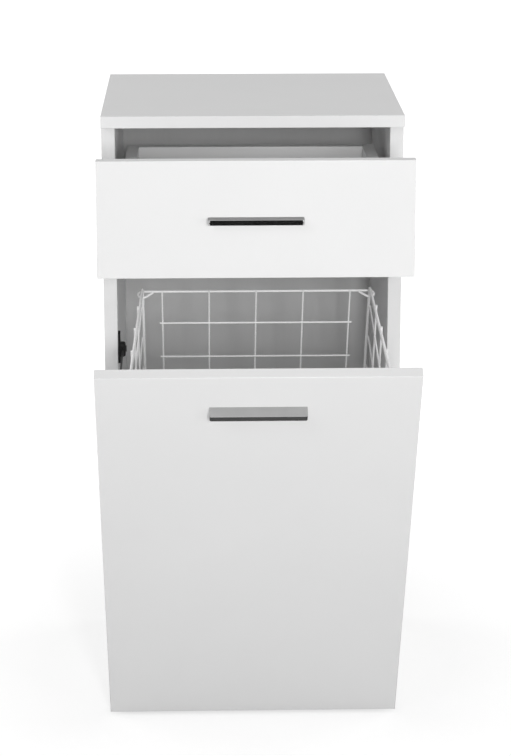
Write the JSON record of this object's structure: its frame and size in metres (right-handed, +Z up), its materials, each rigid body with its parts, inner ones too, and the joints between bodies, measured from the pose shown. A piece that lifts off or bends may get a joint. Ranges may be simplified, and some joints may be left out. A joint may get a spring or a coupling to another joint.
{
  "type": "bathroom base cabinet",
  "caption": "Tall narrow bathroom base cabinet with a drawer on roller runners above a bottom-hinged tilting flap that carries a wire laundry basket.",
  "frame": {"origin": "on the floor, in the middle of the width and of the overall depth from the open flap's front edge to the back panel", "axes": "+X to the cabinet's right as seen by someone in front of it, +Y to the back, +Z up"},
  "size_m": [0.4, 0.6472, 0.85],
  "materials": {
    "white_board": "white melamine-faced board, satin",
    "white_front": "white foil-wrapped front, smooth satin gloss",
    "beech_dowel": "bare turned beech",
    "bright_chrome": "polished chrome",
    "zinc_steel": "bright zinc",
    "white_coated_steel": "white powder coat",
    "basket_wire": "white coated wire",
    "white_plastic": "white moulded plastic",
    "black_plastic": "black moulded plastic",
    "black_steel": "black satin coat"
  },
  "bodies": {
    "carcass": {"back_panel": "white_board", "back_panel_nails": "zinc_steel", "bottom_panel": "white_board", "carcass_dowels": "beech_dowel", "cross_rail": "white_board", "foot_glides": "white_plastic", "hinge_frame_leaves": "zinc_steel", "hinge_frame_screws": "zinc_steel", "hinge_pins": "zinc_steel", "left_runner_rail": "white_coated_steel", "left_side_panel": "white_board", "right_runner_rail": "white_coated_steel", "right_side_panel": "white_board", "runner_rail_screws": "zinc_steel", "stay_guide": "black_plastic", "stay_guide_screws": "zinc_steel", "top_panel": "white_board"},
    "drawer": {"drawer_back": "white_board", "drawer_bottom": "white_board", "drawer_dowels": "beech_dowel", "drawer_front": "white_front", "drawer_handle": "bright_chrome", "drawer_handle_screws": "zinc_steel", "drawer_left_side": "white_board", "drawer_right_side": "white_board", "left_runner_slide": "white_coated_steel", "right_runner_slide": "white_coated_steel", "runner_slide_screws": "zinc_steel"},
    "flap": {"basket_back": "basket_wire", "basket_clip_screws": "zinc_steel", "basket_clips": "white_plastic", "basket_floor": "basket_wire", "basket_front": "basket_wire", "basket_left_side": "basket_wire", "basket_right_side": "basket_wire", "flap_handle": "bright_chrome", "flap_handle_screws": "zinc_steel", "flap_panel": "white_front", "hinge_flap_leaves": "zinc_steel", "hinge_flap_screws": "zinc_steel", "stay_bar": "black_steel", "stay_bar_screws": "zinc_steel"},
    "left_front_wheel": {"left_front_roller": "white_plastic"},
    "left_rear_wheel": {"left_rear_roller": "white_plastic"},
    "right_front_wheel": {"right_front_roller": "white_plastic"},
    "right_rear_wheel": {"right_rear_roller": "white_plastic"}
  },
  "joints": [
    {"name": "drawer_slide", "type": "slide", "parent": "carcass", "child": "drawer", "axis": [0, -1, 0], "range_m": [-0.174, 0.04]},
    {"name": "flap_tilt", "type": "hinge", "parent": "carcass", "child": "flap", "pos_m": [0, 0.00278, 0.0094], "axis": [1, 0, 0], "range_deg": [-28, 0]},
    {"name": "left_front_roller_spin", "type": "hinge", "parent": "carcass", "child": "left_front_wheel", "pos_m": [-0.1758, 0.01578, 0.7054], "axis": [1, 0, 0], "range_deg": [-1366.68, 314.95]},
    {"name": "left_rear_roller_spin", "type": "hinge", "parent": "drawer", "child": "left_rear_wheel", "pos_m": [-0.1758, 0.08978, 0.7038], "axis": [1, 0, 0], "range_deg": [-1366.68, 314.95]},
    {"name": "right_front_roller_spin", "type": "hinge", "parent": "carcass", "child": "right_front_wheel", "pos_m": [0.1758, 0.01578, 0.7054], "axis": [1, 0, 0], "range_deg": [-1366.68, 314.95]},
    {"name": "right_rear_roller_spin", "type": "hinge", "parent": "drawer", "child": "right_rear_wheel", "pos_m": [0.1758, 0.08978, 0.7038], "axis": [1, 0, 0], "range_deg": [-1366.68, 314.95]}
  ],
  "couplings": [
    {"joint": "left_front_roller_spin", "follows": "drawer_slide", "rad_per_m": 136.99},
    {"joint": "left_rear_roller_spin", "follows": "drawer_slide", "rad_per_m": 136.99},
    {"joint": "right_front_roller_spin", "follows": "drawer_slide", "rad_per_m": 136.99},
    {"joint": "right_rear_roller_spin", "follows": "drawer_slide", "rad_per_m": 136.99}
  ]
}
